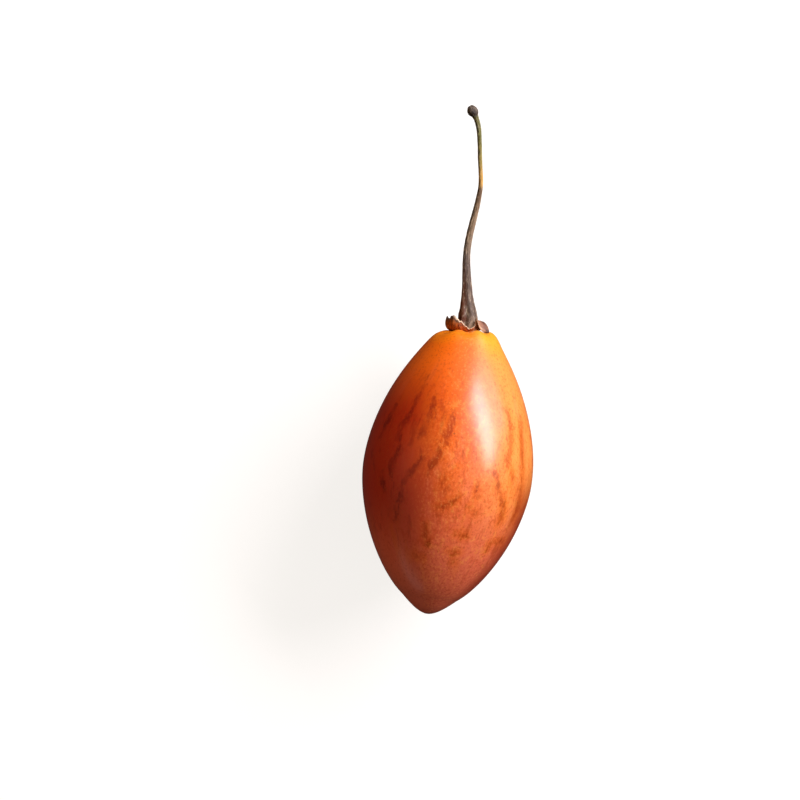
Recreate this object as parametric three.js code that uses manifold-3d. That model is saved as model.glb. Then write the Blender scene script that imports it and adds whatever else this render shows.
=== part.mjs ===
// A ripe tamarillo as picked: the egg-shaped fruit, the dried five-lobed calyx round its stalk, and the
// long curved stem with the knob where it broke off the truss. It lies on its side, on the small flat spot
// that its own weight presses into the skin.
// Millimetres, +Z up. The origin is the middle of that resting spot, right below the balance point. +Y runs
// along the fruit, from the pointed blossom end to the stem.

import * as THREE from "three";
import { mergeVertices } from "three/addons/utils/BufferGeometryUtils.js";
import Module from "manifold-3d";

const wasm = await Module();
wasm.setup();

const DEGREE = Math.PI / 180;
const GAP = 0.3; // between pieces that touch

// Driving dimensions of the fruit
const FRUIT_LENGTH = 74.7; // blossom tip to the middle of the stem end
const FRUIT_RADIUS = 22.05; // at the widest place
const BALANCE = 38.3; // blossom tip to the balance point, along the fruit
const REST_TILT = 2; // degrees that the stem end hangs below level
const REST_DEPTH = 0.45; // how far the underside is pressed flat
const STEM_END_SLOPE = 0.1; // the stem end is slightly askew, higher on the +X side
const STEM_END_RADIUS = 6; // of that askew end, which fades out at the shoulder
const SHOULDER_RADIUS = 10;

// Driving dimensions of the stem and the calyx
const STEM_FOOT_RADIUS = 2.5;
const STEM_SEAT_X = 0.1; // the stalk sits a little off the fruit's axis
const CALYX_THICKNESS = 0.4;
const CALYX_BORE_RADIUS = STEM_FOOT_RADIUS + GAP + CALYX_THICKNESS;
const CALYX_LEAN = Math.atan(STEM_END_SLOPE); // square to the askew stem end

// Moves every vertex of a geometry by the given function, which changes the vector it is handed.
function reshape(geometry, move) {
  const position = geometry.getAttribute("position");
  const vertex = new THREE.Vector3();
  for (let i = 0; i < position.count; i++) {
    vertex.fromBufferAttribute(position, i);
    move(vertex);
    position.setXYZ(i, vertex.x, vertex.y, vertex.z);
  }
  return geometry;
}

function solidOf(geometry) {
  const bare = geometry.clone();
  bare.deleteAttribute("normal");
  bare.deleteAttribute("uv");
  const merged = mergeVertices(bare, 1e-3);
  const vertProperties = new Float32Array(merged.getAttribute("position").array);
  const triVerts = new Uint32Array(merged.index.array);
  return new wasm.Manifold(new wasm.Mesh({ numProp: 3, vertProperties, triVerts }));
}

function geometryOf(solid) {
  const mesh = solid.getMesh();
  const geometry = new THREE.BufferGeometry();
  geometry.setAttribute("position", new THREE.BufferAttribute(mesh.vertProperties, 3));
  geometry.setIndex(new THREE.BufferAttribute(mesh.triVerts, 1));
  geometry.computeVertexNormals();
  return geometry;
}

// Fruit: a solid of revolution about its own +Y, blossom tip at y = 0, with slight swells and an askew
// stem end.

function fruitOutline() {
  const R = FRUIT_RADIUS;
  const L = FRUIT_LENGTH;
  const outline = new THREE.Path();
  outline.moveTo(0, 0);
  outline.bezierCurveTo(0.13 * R, 0, 0.287 * R, 0.05 * L, 0.342 * R, 0.062 * L); // rounded blossom tip
  outline.bezierCurveTo(0.632 * R, 0.128 * L, R, 0.323 * L, R, 0.492 * L); // out to the widest place
  outline.bezierCurveTo(R, 0.696 * L, 0.654 * R, 0.864 * L, 0.414 * R, 0.96 * L); // in to the shoulder
  outline.bezierCurveTo(0.339 * R, 0.991 * L, 0.251 * R, L, 0, L); // over the stem end
  return outline;
}

function shapeSkin(vertex) {
  const around = Math.atan2(vertex.z, vertex.x);
  const belly = Math.sin((Math.PI * vertex.y) / FRUIT_LENGTH);
  const swell = 1 + belly * (0.005 * Math.cos(2 * around - 0.6) + 0.004 * Math.cos(3 * around + 1.1));
  vertex.x *= swell;
  vertex.z *= swell;
  if (vertex.y > 0.9 * FRUIT_LENGTH) {
    const radius = Math.hypot(vertex.x, vertex.z);
    const onTheEnd = 1 - THREE.MathUtils.smoothstep(radius, STEM_END_RADIUS, SHOULDER_RADIUS);
    vertex.y += onTheEnd * STEM_END_SLOPE * vertex.x;
  }
}

// The axis stands this high over the resting spot at the balance point.
const AXIS_HEIGHT = FRUIT_RADIUS - REST_DEPTH;

function fruitGeometry() {
  const turned = new THREE.LatheGeometry(fruitOutline().getSpacedPoints(56), 48);
  reshape(turned, shapeSkin).translate(0, -BALANCE, 0);
  const ground = new THREE.BoxGeometry(2 * FRUIT_RADIUS, FRUIT_LENGTH, FRUIT_RADIUS);
  ground.translate(0, 0, -AXIS_HEIGHT - FRUIT_RADIUS / 2).rotateX(REST_TILT * DEGREE);
  return geometryOf(solidOf(turned).subtract(solidOf(ground)));
}

// Stem: a tapering round section swept along its curve, from the flared foot to the knob at the far end.

// Centre line in the fruit's frame, measured from the middle of the stem end.
const STEM_LINE = new THREE.CatmullRomCurve3(
  [
    [0, GAP, 0],
    [-0.7, 4.0, -0.25],
    [-1.35, 7.7, -0.45],
    [-1.95, 11.3, -0.7],
    [-2.85, 17.1, -1.25],
    [-3.2, 21.5, -1.6],
    [-3.1, 25.2, -1.7],
    [-2.6, 29.9, -1.5],
    [-2.15, 35.0, -1.0],
    [-2.2, 39.1, -0.4],
    [-3.2, 44.5, 0.2],
    [-4.15, 50.0, 0.65],
    [-5.0, 53.5, 0.85],
    [-6.3, 56.1, 0.9],
    [-7.9, 58.2, 0.8],
  ].map((point) => new THREE.Vector3(...point)),
);

// Radius against distance from the foot: flared foot, slim neck, and the knob on the last 3 mm.
function stemOutline(length) {
  const taper = new THREE.SplineCurve(
    [
      [STEM_FOOT_RADIUS, 0],
      [2.4, 3.8],
      [2.05, 6],
      [1.7, 7.9],
      [1.42, 9.8],
      [1.27, 11.7],
      [1.12, 15.4],
      [0.98, 19.3],
      [0.91, 23.8],
      [0.85, 29],
      [0.7, 35],
      [0.57, 40.5],
      [0.56, 48],
      [0.6, 52],
      [0.68, length - 4.2],
    ].map((point) => new THREE.Vector2(...point)),
  );
  const knob = new THREE.SplineCurve(
    [
      [0.82, length - 3.2],
      [1.24, length - 2.2],
      [1.34, length - 1.3],
      [1.12, length - 0.4],
      [0.6, length],
    ].map((point) => new THREE.Vector2(...point)),
  );
  return [
    new THREE.Vector2(0, 0),
    ...taper.getSpacedPoints(26),
    ...knob.getSpacedPoints(5),
    new THREE.Vector2(0, length),
  ];
}

function stemGeometry() {
  const length = STEM_LINE.getLength();
  const turned = new THREE.LatheGeometry(stemOutline(length), 12);
  const side = new THREE.Vector3();
  const front = new THREE.Vector3();
  return reshape(turned, (vertex) => {
    const share = THREE.MathUtils.clamp(vertex.y / length, 0, 1);
    const centre = STEM_LINE.getPointAt(share);
    const along = STEM_LINE.getTangentAt(share);
    side.set(along.y, -along.x, 0).normalize();
    front.crossVectors(side, along);
    side.multiplyScalar(vertex.x);
    front.multiplyScalar(vertex.z);
    vertex.copy(centre).add(side).add(front);
  });
}

// Calyx: a thin washer whose rim is drawn out into five dry lobes, which stand up, fold over or lie flat.

// Degrees round the stalk from +X towards +Z, then radius and height of the bend and of the rim, in mm.
// Lobes and the notches between them take turns.
const CALYX_RIM = [
  { at: 30, bend: [3.9, 4.8], rim: [6.0, 0.2] }, // folded over, down to the shoulder
  { at: 88, bend: [3.5, 0], rim: [3.9, 0.2] }, // the deepest notch
  { at: 135, bend: [6.6, -0.3], rim: [5.4, 3.2] }, // standing up
  { at: 165, bend: [6.4, -0.3], rim: [5.0, 2.7] },
  { at: 197, bend: [7.0, -0.4], rim: [5.6, 3.3] }, // standing up
  { at: 232, bend: [4.0, 0], rim: [4.4, 0.8] },
  { at: 268, bend: [4.5, 0.6], rim: [6.0, 0.8] }, // lying out
  { at: 300, bend: [3.8, 0.2], rim: [4.3, 0.6] },
  { at: 335, bend: [3.9, 3.0], rim: [5.6, 0.4] }, // folded over
  { at: 362, bend: [3.7, 2.8], rim: [4.5, 1.6] },
];

// The line from the bore over the bend to the rim, at an angle round the stalk in radians.
function calyxLine(around) {
  const first = CALYX_RIM[0].at;
  const degrees = first + THREE.MathUtils.euclideanModulo(around / DEGREE - first, 360);
  const closed = [...CALYX_RIM, { ...CALYX_RIM[0], at: first + 360 }];
  const after = closed.findIndex((place) => place.at > degrees);
  const [from, to] = [closed[after - 1], closed[after]];
  const share = (degrees - from.at) / (to.at - from.at);
  const between = (key) => new THREE.Vector2(...from[key]).lerp(new THREE.Vector2(...to[key]), share);
  const bore = new THREE.Vector2(CALYX_BORE_RADIUS, 0);
  return new THREE.QuadraticBezierCurve(bore, between("bend"), between("rim"));
}

const WASHER_WIDTH = 1; // the washer's width before its rim is drawn out

function calyxGeometry() {
  const inner = CALYX_BORE_RADIUS;
  const outer = inner + WASHER_WIDTH;
  const section = new THREE.Path();
  section.moveTo(inner, 0);
  section.lineTo(outer, 0);
  section.lineTo(outer, CALYX_THICKNESS);
  section.lineTo(inner, CALYX_THICKNESS);
  section.closePath();
  const washer = new THREE.LatheGeometry(section.getSpacedPoints(22), 72);
  return reshape(washer, (vertex) => {
    const around = Math.atan2(vertex.z, vertex.x);
    const share = THREE.MathUtils.clamp((Math.hypot(vertex.x, vertex.z) - inner) / WASHER_WIDTH, 0, 1);
    const line = calyxLine(around);
    const spot = line.getPoint(share);
    const along = line.getTangent(share);
    const radius = spot.x - vertex.y * along.y;
    const height = spot.y + vertex.y * along.x;
    vertex.set(radius * Math.cos(around), height, radius * Math.sin(around));
  });
}

function mesh(name, geometry, color, roughness) {
  const material = new THREE.MeshStandardMaterial({ color, roughness, metalness: 0 });
  const made = new THREE.Mesh(geometry, material);
  made.name = name;
  return made;
}

const fruit = mesh("fruit", fruitGeometry(), 0xd9611f, 0.4);
const calyx = mesh("calyx", calyxGeometry(), 0x6b3d22, 0.8);
const stem = mesh("stem", stemGeometry(), 0x5d4c40, 0.75);

// The stalk and the calyx share the middle of the stem end.
const stalk = new THREE.Group();
stalk.position.set(STEM_SEAT_X, FRUIT_LENGTH - BALANCE, 0);
calyx.position.y = GAP;
calyx.rotation.z = CALYX_LEAN;
stalk.add(calyx, stem);

const tamarillo = new THREE.Group();
tamarillo.position.z = AXIS_HEIGHT;
tamarillo.rotation.x = -REST_TILT * DEGREE;
tamarillo.add(fruit, stalk);

const part = new THREE.Group();
part.add(tamarillo);

export default part;
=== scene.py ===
import random
from math import atan2, cos, hypot, pi, radians, sin

import bmesh
import bpy
from mathutils import Matrix, Vector, noise
from mathutils.geometry import interpolate_bezier, intersect_point_line


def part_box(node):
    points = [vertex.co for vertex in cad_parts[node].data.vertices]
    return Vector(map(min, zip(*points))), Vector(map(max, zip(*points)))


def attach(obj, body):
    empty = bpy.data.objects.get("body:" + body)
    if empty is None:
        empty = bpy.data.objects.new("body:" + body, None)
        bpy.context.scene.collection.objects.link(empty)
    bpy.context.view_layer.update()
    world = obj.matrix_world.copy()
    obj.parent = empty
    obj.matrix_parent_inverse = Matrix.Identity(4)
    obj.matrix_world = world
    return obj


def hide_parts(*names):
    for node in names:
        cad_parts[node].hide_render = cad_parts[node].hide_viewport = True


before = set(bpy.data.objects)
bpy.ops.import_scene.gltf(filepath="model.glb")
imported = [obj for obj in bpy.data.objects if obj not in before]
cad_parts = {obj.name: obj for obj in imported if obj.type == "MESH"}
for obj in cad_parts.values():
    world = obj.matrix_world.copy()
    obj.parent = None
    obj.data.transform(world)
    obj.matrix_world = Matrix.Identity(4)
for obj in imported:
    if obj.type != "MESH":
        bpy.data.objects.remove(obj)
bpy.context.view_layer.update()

# Fruit: one ripe egg-shaped berry with a firm, waxy skin, spun about its own axis as it grew. It has a
# blunt point at the blossom end and a flattish, faintly scalloped stem end, and lies on its side on the
# small flat spot that its own weight presses into the skin.

MM = 0.001
fruit_low, fruit_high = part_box("fruit")
REST_TILT = radians(2)  # the stem end hangs below level
REST_DEPTH = 0.45  # mm that the underside is pressed flat
REST_EDGE = 0.2  # mm over which the pressed spot rounds into the skin
SWELL = 0.005  # how far the belly swells out to two sides, as a share of the radius
LESSER_SWELL = 0.004  # and to three sides
END_SLOPE = 0.1  # the stem end is slightly askew, higher on the +X side
END_RISE = 0.002  # of the length, that the askew end stands over its middle
fruit_radius = (fruit_high.x - fruit_low.x) / 2 / (1 + SWELL) / MM
fruit_length = (1 - END_RISE) * (fruit_high.y - fruit_low.y) / MM
balance = -fruit_low.y / MM / cos(REST_TILT)  # from the blossom tip to the balance point
axis_height = fruit_radius - REST_DEPTH

# From a piece's own millimetres, with its +Y along the fruit from the balance point, to the row frame.
lying = (
    Matrix.Translation((0, 0, axis_height * MM))
    @ Matrix.Rotation(-REST_TILT, 4, "X")
    @ Matrix.Scale(MM, 4)
)


def smooth_share(value, low, high):
    share = min(max((value - low) / (high - low), 0), 1)
    return share * share * (3 - 2 * share)


def fruit_outline():
    """Radius and height above the blossom tip, from the tip to the middle of the stem end."""
    curves = [  # knots and handles, as shares of the radius and the length, then the steps on each
        ((0, 0), (0.13, 0), (0.287, 0.05), (0.342, 0.062), 16),
        ((0.342, 0.062), (0.632, 0.128), (1, 0.323), (1, 0.492), 52),
        ((1, 0.492), (1, 0.696), (0.654, 0.864), (0.414, 0.96), 52),
        ((0.414, 0.96), (0.339, 0.991), (0.251, 1), (0, 1), 36),
    ]
    line = [Vector((0, 0))]
    for *knots, steps in curves:
        scaled = [Vector((r * fruit_radius, y * fruit_length)) for r, y in knots]
        line += interpolate_bezier(*scaled, steps)[1:]
    return line


JOIN_WITHIN = 1e-5  # mm
ON_AXIS = 1e-4  # mm from the axis that still counts as on it


def spun(outline, steps, closed=False):
    """A solid spun about Y from an outline of radius and height. Each vertex keeps where it was spun, as
    the cosine of its angle, its height and the sine, for patterns that follow the surface."""
    shape = bmesh.new()
    line = [shape.verts.new((radius, height, 0)) for radius, height in outline]
    edges = [shape.edges.new(pair) for pair in zip(line, line[1:])]
    if closed:
        edges.append(shape.edges.new((line[-1], line[0])))
    bmesh.ops.spin(
        shape,
        geom=line + edges,
        cent=(0, 0, 0),
        axis=(0, 1, 0),
        angle=2 * pi,
        steps=steps,
        use_merge=True,
    )
    bmesh.ops.remove_doubles(shape, verts=shape.verts, dist=JOIN_WITHIN)
    bmesh.ops.recalc_face_normals(shape, faces=shape.faces)
    grain = shape.verts.layers.float_vector.new("grain")
    for vertex in shape.verts:
        around = Vector((vertex.co.x, 0, vertex.co.z))
        if around.length > ON_AXIS:
            around.normalize()
        vertex[grain] = around + Vector((0, vertex.co.y, 0))
    return shape


def finished(shape, name, material):
    """Makes the object of a finished mesh, which rides on the one body and stands for its CAD node."""
    for face in shape.faces:
        face.smooth = True
    mesh = bpy.data.meshes.new(name)
    shape.to_mesh(mesh)
    shape.free()
    mesh.materials.append(material)
    piece = bpy.data.objects.new(name, mesh)
    bpy.context.scene.collection.objects.link(piece)
    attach(piece, "root")
    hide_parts(name.removesuffix("_finish"))
    return piece


FRUIT_STEPS = 256  # round the axis
STEM_END = 0.9  # of the length, past which the skin turns over onto the stem end
END_RADIUS = 6  # mm, of the stem end's flattish middle
SHOULDER_RADIUS = 10  # mm, where its slope has faded out
STALK_RADIUS = 2.5  # mm, where the dip round the stalk starts to rise
STALK_DIP = 0.7  # mm that the stem end sinks in there
DIP_RADIUS = 6.5  # mm, where the dip has ended and the scallops start to fade
SCALLOPS = 7
SCALLOP_AT = radians(64.3)
SCALLOP_HEIGHT = 0.3
SCALLOP_REACH = 11  # mm from the axis
DENT_HEIGHT = 0.22
DENT_SCALE = 0.055  # per mm


def grown(co):
    """Moves a point of the even spun fruit to where it grew."""
    around = atan2(co.z, co.x)
    belly = sin(pi * min(max(co.y / fruit_length, 0), 1))
    dent = DENT_HEIGHT * noise.noise(co * DENT_SCALE) / fruit_radius
    swell = SWELL * cos(2 * around - 0.6) + LESSER_SWELL * cos(3 * around + 1.1)
    swell = 1 + belly * (swell + dent)
    co = Vector((co.x * swell, co.y, co.z * swell))
    if co.y > STEM_END * fruit_length:
        radius = hypot(co.x, co.z)
        on_end = 1 - smooth_share(radius, END_RADIUS, SHOULDER_RADIUS)
        in_dip = 1 - smooth_share(radius, STALK_RADIUS, DIP_RADIUS)
        scallop = smooth_share(radius, STALK_RADIUS, END_RADIUS)
        scallop *= 1 - smooth_share(radius, DIP_RADIUS, SCALLOP_REACH)
        co.y += on_end * END_SLOPE * co.x - STALK_DIP * in_dip
        co.y += scallop * SCALLOP_HEIGHT * cos(SCALLOPS * (around - SCALLOP_AT))
    return co


def pressed(co):
    """Flattens what lies under the surface that the fruit rests on, with a soft edge."""
    edge = REST_EDGE * MM
    if co.z < edge:
        co.z = edge * max(co.z / edge + 1, 0) ** 2 / 4
    return co


# Streaks in the skin, each a line of places: degrees round the fruit from +X up to +Z, the share of the
# length from the blossom tip, and half the streak's width in mm there.
STREAKS = [
    [(31, 0.71, 0.3), (33, 0.66, 0.8), (33, 0.6, 0.9), (32, 0.55, 0.7), (30, 0.49, 0.6),
     (28, 0.4, 0.9), (28, 0.37, 0.4)],
    [(30, 0.48, 0.4), (34, 0.475, 0.5), (36, 0.46, 0.3)],
    [(46, 0.73, 0.2), (46, 0.67, 0.5), (46, 0.62, 0.6), (49, 0.57, 0.7), (48, 0.545, 0.3)],
    [(43, 0.53, 0.4), (42, 0.5, 0.3)],
    [(58, 0.52, 0.3), (54, 0.48, 0.6), (51, 0.45, 0.5), (46, 0.41, 0.7), (44, 0.37, 0.9),
     (46, 0.345, 0.3)],
    [(94, 0.7, 0.3), (94, 0.66, 0.8), (96, 0.62, 1.1), (95, 0.59, 0.6)],
    [(100, 0.58, 0.4), (98, 0.55, 0.8), (102, 0.52, 0.8), (104, 0.485, 0.4)],
    [(110, 0.74, 0.3), (109, 0.69, 0.8), (111, 0.65, 0.8), (113, 0.61, 0.7), (115, 0.595, 0.3)],
    [(109, 0.53, 0.5), (113, 0.5, 0.8), (117, 0.47, 0.8), (121, 0.43, 0.6), (122, 0.39, 0.9),
     (125, 0.375, 0.4)],
    [(123, 0.81, 0.2), (124, 0.76, 0.5), (125, 0.7, 0.4), (127, 0.66, 0.8), (131, 0.62, 0.7),
     (131, 0.585, 0.8)],
    [(129, 0.56, 0.3), (129, 0.53, 0.8), (132, 0.49, 1.0), (131, 0.455, 0.4)],
    [(144, 0.7, 0.4), (146, 0.65, 1.0), (148, 0.61, 0.8), (150, 0.585, 0.7)],
    [(124, 0.35, 0.5), (127, 0.31, 0.3)],
    [(103, 0.315, 0.4), (101, 0.27, 0.7), (100, 0.245, 0.3)],
    [(109, 0.2, 0.5), (104, 0.195, 0.3)],
    [(93, 0.5, 0.2), (92, 0.475, 0.5), (94, 0.45, 0.2)],
    [(81, 0.425, 0.5), (85, 0.4, 0.6), (90, 0.385, 0.5), (96, 0.375, 0.3)],
    [(70, 0.46, 0.2), (69, 0.43, 0.4)],
    [(73, 0.39, 0.3), (68, 0.375, 0.4)],
    [(78, 0.295, 0.3), (73, 0.29, 0.5), (69, 0.295, 0.3)],
    [(80, 0.235, 0.3), (75, 0.23, 0.5), (71, 0.235, 0.2)],
    [(76, 0.21, 0.2), (74, 0.2, 0.4)],
    [(42, 0.285, 0.2), (35, 0.29, 0.5), (28, 0.285, 0.5)],
    [(46, 0.275, 0.4), (45, 0.25, 0.3)],
    [(140, 0.47, 0.3), (139, 0.43, 0.6), (137, 0.4, 0.3)],
]
OTHER_SIDE_STREAKS = 34  # more of the same on the sides and underneath
OTHER_SIDE = (160, 375)  # degrees round the fruit
STREAK_TIP = 0.2  # mm, half the width where a streak starts and ends
wander = random.Random(11)
for _ in range(OTHER_SIDE_STREAKS):
    degrees = wander.uniform(*OTHER_SIDE)
    share = wander.uniform(0.3, 0.82)
    width = wander.uniform(0.35, 0.95)
    streak = [(degrees, share, STREAK_TIP)]
    for _ in range(wander.randint(2, 6)):
        degrees += wander.uniform(-3.5, 3.5)
        share -= wander.uniform(0.02, 0.05)
        streak.append((degrees, share, width * wander.uniform(0.6, 1.1)))
    STREAKS.append(streak + [(degrees + 1, share - 0.02, STREAK_TIP)])

STREAK_FADE = 3  # mm past a streak's edge that still counts as near it
STREAK_MARGIN = 0.06  # the same along the fruit, as a share of its length
STREAK_SWING = 40  # degrees from its start that no streak wanders past


def streak_at(co):
    """How many mm a point of the even spun fruit is inside the nearest streak, below 0 outside it."""
    degrees = atan2(co.z, co.x) / radians(1) % 360
    share = co.y / fruit_length
    mm_per_degree = hypot(co.x, co.z) * radians(1)
    inside = -STREAK_FADE
    for streak in STREAKS:
        first = streak[0][0]
        if not streak[-1][1] - STREAK_MARGIN < share < streak[0][1] + STREAK_MARGIN:
            continue
        turned = (degrees - first + 180) % 360 - 180
        if abs(turned) > STREAK_SWING:
            continue
        here = Vector((turned * mm_per_degree, co.y))
        places = [Vector(((d - first) * mm_per_degree, y * fruit_length, w)) for d, y, w in streak]
        for start, end in zip(places, places[1:]):
            part = intersect_point_line(here, start.xy, end.xy)[1]
            near = start.lerp(end, min(max(part, 0), 1))
            inside = max(inside, near.z - (here - near.xy).length)
    return inside


fruit_shape = spun(fruit_outline(), FRUIT_STEPS)
streak_layer = fruit_shape.verts.layers.float.new("streak")
for vertex in fruit_shape.verts:
    vertex[streak_layer] = streak_at(vertex.co)
    vertex.co = pressed(lying @ (grown(vertex.co) - Vector((0, balance, 0))))


class Socket:
    """An output of a material's node. Operators on it add Math nodes, and node() adds any other node."""

    def __init__(self, socket):
        self.socket = socket

    def node(self, kind, settings, inputs, output=0):
        """An output of a new node. Its settings are set first, such as a ramp's stops, then its inputs,
        each a value or another Socket."""
        tree = self.socket.id_data
        made = tree.nodes.new(kind)
        for name, value in settings.items():
            if name == "stops":
                ramp = made.color_ramp
                while len(ramp.elements) < len(value):
                    ramp.elements.new(0.5)
                for element, (position, color) in zip(ramp.elements, value):
                    element.position = position
                    element.color = color
            else:
                setattr(made, name, value)
        for name, value in inputs.items():
            if isinstance(value, Socket):
                tree.links.new(value.socket, made.inputs[name])
            else:
                made.inputs[name].default_value = value
        return Socket(made.outputs[output])

    def math(self, operation, *values):
        return self.node("ShaderNodeMath", {"operation": operation}, dict(enumerate(values)))

    def __add__(self, other):
        return self.math("ADD", self, other)

    def __radd__(self, other):
        return self.math("ADD", other, self)

    def __sub__(self, other):
        return self.math("SUBTRACT", self, other)

    def __rsub__(self, other):
        return self.math("SUBTRACT", other, self)

    def __mul__(self, other):
        return self.math("MULTIPLY", self, other)

    def __rmul__(self, other):
        return self.math("MULTIPLY", other, self)

    def step(self, low, high):
        """0 below low, 1 above high and smooth between them. It falls where low is the higher."""
        ends = {"Value": self, "From Min": low, "From Max": high}
        return self.node("ShaderNodeMapRange", {"interpolation_type": "SMOOTHSTEP"}, ends)

    def blend(self, first, second, way="MIX"):
        """The first color or vector where this is 0, and the second where it is 1."""
        settings = {"data_type": "RGBA", "blend_type": way}
        return self.node("ShaderNodeMix", settings, {0: self, 6: first, 7: second}, 2)

    def attribute(self, name, output):
        return self.node("ShaderNodeAttribute", {"attribute_name": name}, {}, output)

    def part(self, axis):
        return self.node("ShaderNodeSeparateXYZ", {}, {"Vector": self}, axis)

    def noise(self, scale, detail, roughness, output="Fac"):
        """Noise at this vector."""
        sockets = {"Vector": self, "Scale": scale, "Detail": detail, "Roughness": roughness}
        return self.node("ShaderNodeTexNoise", {}, sockets, output)

    def stretched(self, x, y, z):
        """This vector with each part scaled on its own."""
        return self.node("ShaderNodeVectorMath", {"operation": "MULTIPLY"}, {0: self, 1: (x, y, z)})

    def bump(self, strength, distance):
        """The normal of a surface with this height."""
        sockets = {"Height": self, "Strength": strength, "Distance": distance}
        return self.node("ShaderNodeBump", {}, sockets)

    def to(self, shader, name):
        self.socket.id_data.links.new(self.socket, shader.inputs[name])


def new_material(name):
    """A material, its shader, and a socket to start its nodes from."""
    material = bpy.data.materials.new(name)
    material.use_nodes = True
    shader = material.node_tree.nodes["Principled BSDF"]
    return material, shader, Socket(shader.outputs[0])


def color(red, green, blue):
    """A color on the usual scale of 0 to 255, as the linear one that a shader takes."""
    parts = [part / 255 for part in (red, green, blue)]
    return *(p / 12.92 if p <= 0.04045 else ((p + 0.055) / 1.055) ** 2.4 for p in parts), 1


def fruit_skin():
    material, shader, start = new_material("fruit_skin")
    grain = start.attribute("grain", "Vector")
    place = start.node("ShaderNodeTexCoord", {}, {}, "Object")
    side = grain.part("X")
    along = grain.part("Y") * (1 / fruit_length)

    # Ground color: dusky pink at the blossom end and golden at the stem end
    stops = [
        (0.0, color(204, 94, 68)),
        (0.22, color(232, 108, 72)),
        (0.5, color(230, 104, 32)),
        (0.75, color(230, 96, 14)),
        (0.94, color(234, 104, 4)),
        (1.0, color(240, 130, 6)),
    ]
    uneven = place.noise(38, 3, 0.55)
    ground = along.node("ShaderNodeValToRGB", {"stops": stops}, {"Fac": along + (uneven - 0.5) * 0.3})
    # Golden-peach on the +X flank: partly the skin's own tone and partly painted sheen on the side where
    # the light falls
    golden_and_sheen = (side + (uneven - 0.5) * 0.7).step(0.05, 0.8) * along.step(0.2, 0.6)
    ground = (golden_and_sheen * 0.75).blend(ground, color(249, 162, 78))
    yellow = (side + (uneven - 0.5) * 0.9).step(0.1, 0.6) * along.step(0.88, 0.99)
    ground = (yellow * 0.75).blend(ground, color(252, 166, 18))

    # Lanes along the fruit, golden or pinkish by turns
    wave = grain.stretched(1, 2.2 / fruit_length, 1).noise(1.6, 2, 0.5, output="Color")
    swayed = grain.node("ShaderNodeVectorMath", {"operation": "SUBTRACT"}, {0: wave, 1: (0.5, 0.5, 0.5)})
    lanes = swayed.node(
        "ShaderNodeVectorMath",
        {"operation": "MULTIPLY_ADD"},
        {0: swayed, 1: (0.3, 0.3, 0.3), 2: grain.stretched(1, 0.8 / fruit_length, 1)},
    )
    lane = lanes.noise(4, 4, 0.6)
    middle = along.step(0.02, 0.3) * along.step(0.94, 0.7)  # away from the poles, where lanes would crowd
    ground = (lane.step(0.5, 0.72) * middle * 0.4).blend(ground, color(236, 134, 98))
    ground = (lane.step(0.48, 0.3) * middle * 0.5).blend(ground, color(230, 116, 20))

    # Each streak lies in a golden lane of its own, with frayed edges.
    streak = start.attribute("streak", "Fac")
    fray = place.stretched(1, 0.6, 1).noise(750, 4, 0.7)
    gaps = place.noise(230, 2, 0.5)
    ground = ((streak + (fray - 0.5) * 2).step(-2.2, 0.3) * 0.5).blend(ground, color(228, 104, 14))

    # Golden and deep orange flecks
    flecks = place.stretched(1, 0.8, 1).noise(480, 5, 0.75)
    golden_flecks = flecks.step(0.53, 0.64) * side.step(-0.6, -0.1) * middle
    ground = (golden_flecks * 0.44).blend(ground, color(244, 154, 66))
    ground = (flecks.step(0.47, 0.36) * middle * 0.5).blend(ground, color(204, 78, 24))

    # The dark red of the -X flank, partly the skin's own red and partly painted shade, and painted shade
    # in a dusky red low on the +X flank
    flank = side + (uneven - 0.5) * 0.5 - along.step(0.6, 0.42) * 0.16
    flank_red_and_shade = flank.step(0.0, -0.7) * along.step(0.9, 0.66) * along.step(0.05, 0.42)
    ground = (flank_red_and_shade * 0.9).blend(ground, color(166, 26, 0))
    # Painted shade low on the +X flank, darker towards the blossom end
    painted_low_shade = (side + (uneven - 0.5) * 0.45).step(0.7, 1.02)
    painted_low_shade = painted_low_shade * along.step(0.6, 0.35) * along.step(0.0, 0.16)
    ground = (painted_low_shade * 0.85).blend(ground, color(152, 40, 12))

    # The streaks themselves, broken by gaps, and fainter stains between them
    core = (streak + (fray - 0.5) * 3.2).step(-0.7, 0.65) * (0.5 + gaps.step(0.35, 0.6) * 0.5)
    core = core * (1 - side.step(0.45, 0.9) * 0.35)
    faint = (lanes.noise(11, 3, 0.6) + (fray - 0.5) * 0.35).step(0.54, 0.72) * middle
    stain = core + faint * 0.55
    ground = stain.blend(ground, color(194, 160, 68), "MULTIPLY")

    # A fine grain, and a few dark specks
    mottle = place.stretched(1, 0.7, 1).noise(1700, 3, 0.65)
    lit_grain = mottle.step(0.52, 0.68) * side.step(-0.5, 0.0) * (1 - painted_low_shade)
    ground = (lit_grain * 0.36).blend(ground, color(248, 152, 84))
    ground = (mottle.step(0.48, 0.34) * 0.46).blend(ground, color(176, 62, 12))
    cells = {"Vector": place, "Scale": 150}
    specks = place.node("ShaderNodeTexVoronoi", {"feature": "F1"}, cells, "Distance")
    ground = (specks.step(0.06, 0.02) * 0.5).blend(ground, color(100, 36, 10))
    ground.to(shader, "Base Color")

    wax = place.noise(300, 3, 0.6)
    (0.46 + (wax - 0.5) * 0.12 + core * 0.04).to(shader, "Roughness")
    pores = mottle + fray * 0.5
    pores.bump(0.1, 0.0002).to(shader, "Normal")
    shader.inputs["Coat Weight"].default_value = 0.85
    shader.inputs["Coat Roughness"].default_value = 0.27
    shader.inputs["Specular IOR Level"].default_value = 0.3
    return material


finished(fruit_shape, "fruit_finish", fruit_skin())

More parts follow.
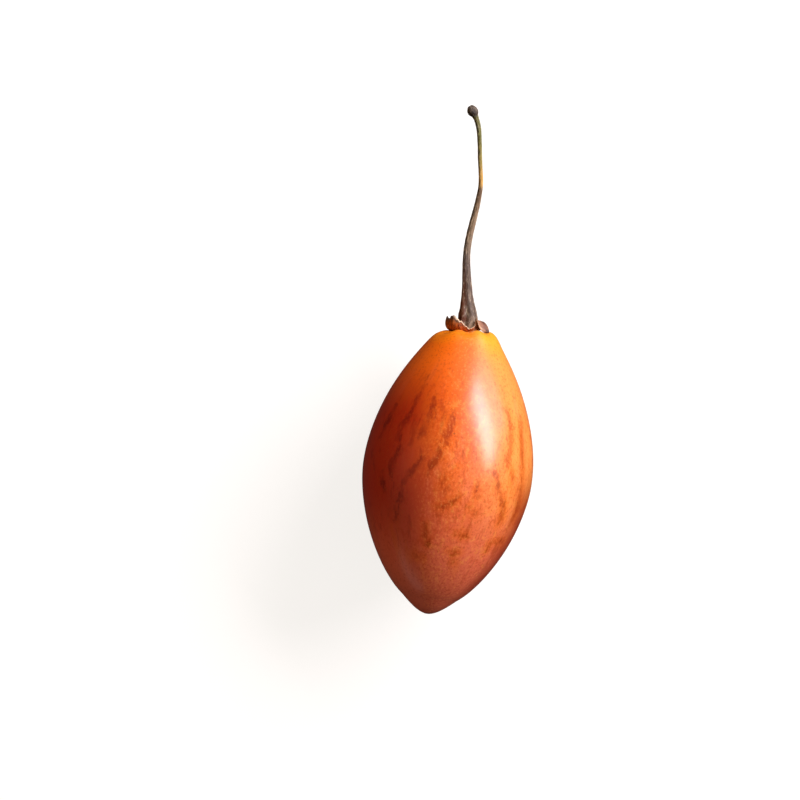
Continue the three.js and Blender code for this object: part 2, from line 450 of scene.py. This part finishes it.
# Calyx: the five dried sepals that stay round the stalk, one thin leathery cup grown onto the fruit. On
# its -X side the wall stands up with a ragged rim, on top it is split down to the fruit, and on its +X
# side a lobe folds over onto the shoulder.

STALK_SEAT_X = 0.1  # mm that the stalk sits off the fruit's axis
BORE_RADIUS = 2.7
stem_end = fruit_length - balance
on_stem_end = lying @ Matrix.Translation((STALK_SEAT_X, stem_end, 0))

# Degrees round the stalk from +X up to +Z, then radius and height of the bend and of the rim, in mm.
# Lobes and the notches between them take turns.
CALYX_RIM = [
    (30, (3.9, 5.0), (6.2, -1.0)),
    (42, (3.8, 5.2), (5.3, -0.6)),
    (51, (3.6, 4.8), (4.6, 0.2)),
    (58, (3.4, 3.8), (3.9, 2.4)),
    (65, (3.2, 0.5), (3.8, 0.7)),
    (78, (3.2, 0.1), (3.7, 0.05)),
    (89, (3.2, 0.0), (3.9, -0.2)),
    (112, (4.6, -0.2), (4.4, 1.4)),
    (135, (6.6, -0.3), (5.5, 3.3)),
    (163, (6.6, -0.3), (5.2, 2.4)),
    (195, (7.1, -0.4), (5.7, 3.5)),
    (232, (4.4, 0.0), (4.6, 0.9)),
    (268, (4.6, 0.6), (6.1, 0.5)),
    (300, (3.9, 0.2), (4.4, 0.4)),
    (335, (3.9, 3.2), (5.8, 0.0)),
    (362, (3.7, 3.0), (4.6, 1.4)),
]
SHEET = 0.42  # mm thick at the bore
SHEET_RIM = 0.2  # and at the rim
CALYX_LEAN = atan2(END_SLOPE, 1)
CALYX_SINK = 0.6  # mm that its middle follows the stem end down round the stalk
CALYX_STEPS = 360  # round the stalk
RAGGED = 0.35  # mm that the rim runs out and in
WRINKLE = 0.16  # mm, the height of the wrinkles at the rim


def calyx_line(around):
    """Bore, bend and rim of the calyx at an angle round the stalk, each as radius and height."""
    first = CALYX_RIM[0][0]
    degrees = first + (around / radians(1) - first) % 360
    places = CALYX_RIM + [(first + 360, *CALYX_RIM[0][1:])]
    for start, end in zip(places, places[1:]):
        if degrees <= end[0]:
            share = (degrees - start[0]) / (end[0] - start[0])
            bend, rim = (Vector(start[i]).lerp(Vector(end[i]), share) for i in (1, 2))
            return Vector((BORE_RADIUS, 0)), bend, rim


def sepal(co):
    """Moves a point of a flat washer, whose width and thickness are both 1, to its place on the calyx."""
    around = atan2(co.z, co.x)
    share = min(max(hypot(co.x, co.z) - BORE_RADIUS, 0), 1)
    bore, bend, rim = calyx_line(around)
    direction = Vector((cos(around), 0, sin(around)))
    ragged = noise.noise(direction * 9) + 0.6 * noise.noise(direction * 23)
    rim = rim + (rim - bend).normalized() * RAGGED * ragged
    spot = (1 - share) ** 2 * bore + 2 * share * (1 - share) * bend + share**2 * rim
    along = ((1 - share) * (bend - bore) + share * (rim - bend)).normalized()
    wrinkle = WRINKLE * share * noise.noise(direction * 11 + Vector((0, share * 1.2, 0)))
    offset = (co.y - 0.5) * (SHEET + (SHEET_RIM - SHEET) * share) + wrinkle
    radius = spot.x - offset * along.y
    height = spot.y + offset * along.x + SHEET / 2 - CALYX_SINK * (1 - share)
    return Vector((radius * direction.x, height, radius * direction.z))


WASHER_STEPS = 26
top = [(BORE_RADIUS + i / WASHER_STEPS, 1) for i in range(WASHER_STEPS + 1)]
rim_round = [(BORE_RADIUS + 1, 0.5)]
underside = [(BORE_RADIUS + i / WASHER_STEPS, 0) for i in reversed(range(WASHER_STEPS + 1))]
calyx_shape = spun(top + rim_round + underside + [(BORE_RADIUS, 0.5)], CALYX_STEPS, closed=True)
calyx_grain = calyx_shape.verts.layers.float_vector["grain"]
lean = Matrix.Rotation(CALYX_LEAN, 4, "Z")
for vertex in calyx_shape.verts:
    vertex[calyx_grain].y = hypot(vertex.co.x, vertex.co.z) - BORE_RADIUS  # 0 at the bore, 1 at the rim
    vertex.co = on_stem_end @ lean @ sepal(vertex.co)
bmesh.ops.recalc_face_normals(calyx_shape, faces=calyx_shape.faces)


def dry_calyx():
    material, shader, start = new_material("dry_calyx")
    grain = start.attribute("grain", "Vector")
    place = start.node("ShaderNodeTexCoord", {}, {}, "Object")
    share = grain.part("Y")
    side = grain.part("X")
    front = grain.part("Z")
    veins = grain.stretched(1, 0.25, 1).noise(14, 3, 0.6)
    patches = place.noise(420, 3, 0.6)

    # Patchy brown, darker along the veins
    brown = patches.step(0.35, 0.68).blend(color(160, 72, 12), color(200, 108, 40))
    brown = (veins.step(0.5, 0.66) * 0.75).blend(brown, color(62, 26, 8))

    # The folded lobe on the +X side is duller, with a dark arch and a paler end; the wall beside it gets
    # painted light.
    folded = side.step(0.35, 0.6)
    brown = (folded * 0.75).blend(brown, color(82, 44, 26))
    pale = (share + (patches - 0.5) * 0.4).step(0.66, 1.0)
    brown = (folded * pale * 0.6).blend(brown, color(178, 124, 94))
    brown = (folded * veins.step(0.47, 0.6) * 0.5).blend(brown, color(52, 26, 16))
    arch = share.step(0.15, 0.4) * share.step(0.8, 0.55)
    brown = (folded * arch * 0.5).blend(brown, color(56, 28, 14))
    # Beige on the wall beside the fold: partly its own pale colour and partly painted light over the
    # shadow of the folded lobe
    beige_and_painted_light = side.step(0.36, 0.46) * side.step(0.82, 0.62)
    brown = (beige_and_painted_light * 0.5).blend(brown, color(190, 138, 106))

    # Grey tips on the -X side, the dark point of the folded lobe, and the pale worn rim on top
    tip = (share + (patches - 0.5) * 0.5).step(0.7, 0.98)
    brown = (tip * side.step(0.2, -0.5) * 0.85).blend(brown, color(62, 54, 44))
    point = share.step(0.9, 0.96) * side.step(0.78, 0.84) * side.step(0.96, 0.9)
    brown = (point * 0.85).blend(brown, color(70, 40, 32))
    worn = (share + (veins - 0.5) * 0.1).step(0.9, 0.97) * front.step(0.62, 0.85)
    brown = (worn * 0.9).blend(brown, color(238, 210, 180))
    brown.to(shader, "Base Color")

    (0.62 + (patches - 0.5) * 0.3).to(shader, "Roughness")
    relief = veins + patches * 0.6
    relief.bump(0.6, 0.0003).to(shader, "Normal")
    return material


finished(calyx_shape, "calyx_finish", dry_calyx())

# Stem: the dried fruit stalk, woody and finely ridged, grown into the stem end. It flares at its foot,
# thins out along its curve, and ends in the knob where it broke off the truss.

# Centre line in the fruit's own frame, in mm from the middle of the stem end
STEM_LINE = [
    (0, -0.4, 0),
    (-0.7, 4.0, -0.25),
    (-1.35, 7.7, -0.45),
    (-1.95, 11.3, -0.7),
    (-2.85, 17.1, -1.25),
    (-3.2, 21.5, -1.6),
    (-3.1, 25.2, -1.7),
    (-2.6, 29.9, -1.5),
    (-2.15, 35.0, -1.0),
    (-2.2, 39.1, -0.4),
    (-3.2, 44.5, 0.2),
    (-4.15, 50.0, 0.65),
    (-5.0, 53.5, 0.85),
    (-6.3, 56.1, 0.9),
    (-7.9, 58.2, 0.8),
]


def through(points, steps):
    """Points along a smooth line through the given ones, so many steps from each to the next."""
    points = [Vector(point) for point in points]
    before = [2 * points[0] - points[1]] + points
    after = points[1:] + [2 * points[-1] - points[-2]]
    line = []
    for i, (start, end) in enumerate(zip(points, points[1:])):
        pull_out = (end - before[i]) / 6
        pull_in = (after[i + 1] - start) / 6
        line += interpolate_bezier(start, start + pull_out, end - pull_in, end, steps + 1)[:-1]
    return line + [points[-1]]


stem_line = through(STEM_LINE, 12)
stem_marks = [0.0]
for start, end in zip(stem_line, stem_line[1:]):
    stem_marks.append(stem_marks[-1] + (end - start).length)
stem_length = stem_marks[-1]

# Distance from the foot and radius, both in mm
TAPER = [
    (0, 2.6),
    (1.5, 2.62),
    (3.8, 2.4),
    (6, 2.05),
    (7.9, 1.7),
    (9.8, 1.42),
    (11.7, 1.27),
    (15.4, 1.12),
    (19.3, 0.98),
    (23.8, 0.91),
    (29, 0.85),
    (35, 0.7),
    (40.5, 0.57),
    (48, 0.56),
    (52, 0.6),
    (stem_length - 3.8, 0.68),
]

# The same for the knob, but with the distance back from the far end
KNOB = [(2.9, 0.84), (2.3, 1.18), (1.6, 1.36), (0.8, 1.24), (0.3, 0.9)]
KNOB_HOLLOW = [(0.0, 0.6), (0.25, 0.3)]  # the broken end, a shallow hollow
HOLLOW_DEPTH = 0.3
stem_taper = through([(*point, 0) for point in TAPER], 12)
knob = [(stem_length - back, radius, 0) for back, radius in KNOB + KNOB_HOLLOW]
knob_taper = through([stem_taper[-1], *knob], 6)[1:]
stem_outline = [(0, 0)] + [(point.y, point.x) for point in stem_taper + knob_taper]
stem_outline += [(0, stem_length - HOLLOW_DEPTH)]

STEM_STEPS = 64  # round the stem
FLARE = (2, 18)  # mm from the foot, over which the foot's deeper relief fades

# Ridges along the stem and wrinkles across it, as shares of the radius, then what the foot adds
RIDGES = (0.035, 0.05)
WRINKLES = (0.05, 0.08)
FINE_RIDGES = 0.03
SWELLS = 0.06


def bent(co):
    """Moves a point of the straight spun stem to its place along the curve, ridged and wrinkled."""
    mark = min(max(co.y, 0), stem_length)
    i = max(j for j, at in enumerate(stem_marks[:-1]) if at <= mark)
    share = (mark - stem_marks[i]) / (stem_marks[i + 1] - stem_marks[i])
    centre = stem_line[i].lerp(stem_line[i + 1], share)
    ahead = stem_line[min(i + 2, len(stem_line) - 1)] - stem_line[i + 1]
    here = stem_line[i + 1] - stem_line[i]
    along = (here.lerp(ahead, share) if ahead.length else here).normalized()
    aside = Vector((along.y, -along.x, 0)).normalized()
    front = aside.cross(along)
    around = atan2(co.z, co.x)
    foot = 1 - smooth_share(mark, *FLARE)
    relief = (RIDGES[0] + RIDGES[1] * foot) * cos(5 * around + 0.05 * mark + 0.6 * sin(0.4 * mark))
    relief += FINE_RIDGES * cos(11 * around - 0.08 * mark)
    direction = Vector((cos(around), 0, sin(around)))
    wrinkled = noise.noise(direction * 3.2 + Vector((0, mark * 0.22, 0)))
    relief += (WRINKLES[0] + WRINKLES[1] * foot) * wrinkled
    relief += SWELLS * noise.noise(direction * 0.8 + Vector((0, mark * 0.7, 5)))
    return centre + (1 + relief) * (co.x * aside + co.z * front)


stem_shape = spun(stem_outline, STEM_STEPS)
for vertex in stem_shape.verts:
    vertex.co = on_stem_end @ bent(vertex.co)
bmesh.ops.recalc_face_normals(stem_shape, faces=stem_shape.faces)


def dry_stem():
    material, shader, start = new_material("dry_stem")
    grain = start.attribute("grain", "Vector")
    mark = grain.part("Y")
    side = grain.part("X")
    fibres = grain.stretched(1, 0.12, 1).noise(4.5, 5, 0.75)
    patches = grain.stretched(0.4, 0.35, 0.4).noise(1, 3, 0.6)

    # Grey-brown from the foot on, a golden patch where the wood ends, then green up to the knob
    share = (mark + (patches - 0.5) * 3) * (1 / stem_length)
    stops = [
        (0.0, color(186, 158, 132)),
        (0.03, color(150, 124, 102)),
        (0.07, color(96, 78, 66)),
        (0.3, color(84, 66, 56)),
        (0.4, color(130, 108, 84)),
        (0.52, color(140, 114, 86)),
        (0.63, color(104, 76, 48)),
        (0.655, color(222, 170, 84)),
        (0.69, color(206, 160, 76)),
        (0.76, color(146, 130, 52)),
        (0.86, color(104, 104, 40)),
        (0.94, color(100, 98, 44)),
        (0.957, color(66, 54, 46)),
        (1.0, color(104, 92, 82)),
    ]
    ground = share.node("ShaderNodeValToRGB", {"stops": stops}, {"Fac": share})

    # Dark and pale fibres, the dark ones denser on the -X side as painted shade, russet ones at the foot,
    # and the dark broken end
    dark_fibres_and_shade = (fibres - side * 0.1).step(0.49, 0.6)
    ground = (dark_fibres_and_shade * 0.8).blend(ground, color(26, 18, 16))
    ground = (fibres.step(0.47, 0.36) * 0.55).blend(ground, color(190, 168, 140))
    russet = (fibres - side * 0.3).step(0.5, 0.66) * mark.step(22, 4)
    ground = (russet * 0.6).blend(ground, color(112, 52, 16))
    broken = mark.step(stem_length - 0.25, stem_length - 0.02)
    ground = (broken * 0.6).blend(ground, color(52, 42, 34))
    ground.to(shader, "Base Color")

    (0.6 + (patches - 0.5) * 0.2).to(shader, "Roughness")
    fibres.bump(0.6, 0.0003).to(shader, "Normal")
    return material


finished(stem_shape, "stem_finish", dry_stem())

# Studio: a pale floor, one broad window light with a wider and weaker one beside it, dim fills round the
# fruit, and the camera straight above, turned a little about its own line of sight. The floor shows to
# the camera only, so that it neither lights the underside nor mirrors in the skin.

FLOOR_REACH = 8  # metres from the middle to an edge
floor_shape = bmesh.new()
bmesh.ops.create_grid(floor_shape, x_segments=1, y_segments=1, size=FLOOR_REACH)
floor_mesh = bpy.data.meshes.new("floor")
floor_shape.to_mesh(floor_mesh)
floor_shape.free()
floor_material, floor_shader, _ = new_material("pale_floor")
floor_shader.inputs["Base Color"].default_value = color(150, 148, 146)
floor_shader.inputs["Roughness"].default_value = 0.9
floor_shader.inputs["Emission Color"].default_value = color(255, 254, 252)
floor_shader.inputs["Emission Strength"].default_value = 0.8
floor_mesh.materials.append(floor_material)
floor = bpy.data.objects.new("floor", floor_mesh)
bpy.context.scene.collection.objects.link(floor)
floor.visible_diffuse = False
floor.visible_glossy = False

fruit_middle = Vector((0, 0, axis_height * MM))


def soft_light(name, azimuth, elevation, distance, width, height, power, tint, mirrored=True):
    """A soft box aimed at the fruit, with its sizes in metres and its power in watts. Azimuth is in
    degrees from +X towards +Y. One that isn't mirrored lights the skin without a gloss of its own."""
    lamp = bpy.data.lights.new(name, "AREA")
    lamp.shape = "RECTANGLE"
    lamp.size = width
    lamp.size_y = height
    lamp.energy = power
    lamp.color = tint
    light = bpy.data.objects.new(name, lamp)
    bpy.context.scene.collection.objects.link(light)
    turn = Matrix.Rotation(radians(azimuth), 4, "Z") @ Matrix.Rotation(-radians(elevation), 4, "Y")
    light.location = fruit_middle + turn @ Vector((distance, 0, 0))
    away = (light.location - fruit_middle).normalized()
    light.rotation_euler = away.to_track_quat("Z", "Y").to_euler()
    light.visible_glossy = mirrored


soft_light("window_light", 41, 34, 1.0, 0.85, 0.28, 13, (1.0, 0.95, 1.0))
soft_light("window_sheen", 44, 18, 1.0, 0.7, 0.5, 3.2, (1.0, 0.92, 1.0))
soft_light("side_fill", -15, 24, 1.0, 0.8, 0.6, 2.4, (1.0, 0.9, 0.85), mirrored=False)
soft_light("head_fill", 82, 14, 1.2, 1.0, 0.8, 8, (1.0, 0.96, 0.9), mirrored=False)
soft_light("warm_fill", 188, 38, 1.0, 1.0, 1.0, 3.6, (1.0, 0.74, 0.46), mirrored=False)
soft_light("edge_light", 242, 0, 1.0, 0.6, 0.2, 0.22, (1.0, 0.9, 0.88))

world = bpy.data.worlds.new("studio")
world.use_nodes = True
world.node_tree.nodes["Background"].inputs["Color"].default_value = (1.0, 0.85, 0.75, 1)
world.node_tree.nodes["Background"].inputs["Strength"].default_value = 0.03
bpy.context.scene.world = world
bpy.context.scene.view_settings.view_transform = "Standard"

LENS = 100  # mm
SENSOR = 36  # mm
VIEW_WIDTH = 0.2087  # metres seen across, at the height of the fruit's axis
CAMERA_AT = (-0.0149, 0.0158)  # over the middle of the view
CAMERA_TURN = radians(8.23)
lens = bpy.data.cameras.new("camera")
lens.lens = LENS
lens.sensor_width = SENSOR
camera = bpy.data.objects.new("camera", lens)
bpy.context.scene.collection.objects.link(camera)
camera.location = (*CAMERA_AT, axis_height * MM + VIEW_WIDTH * LENS / SENSOR)
camera.rotation_euler = (0, 0, CAMERA_TURN)
bpy.context.scene.camera = camera
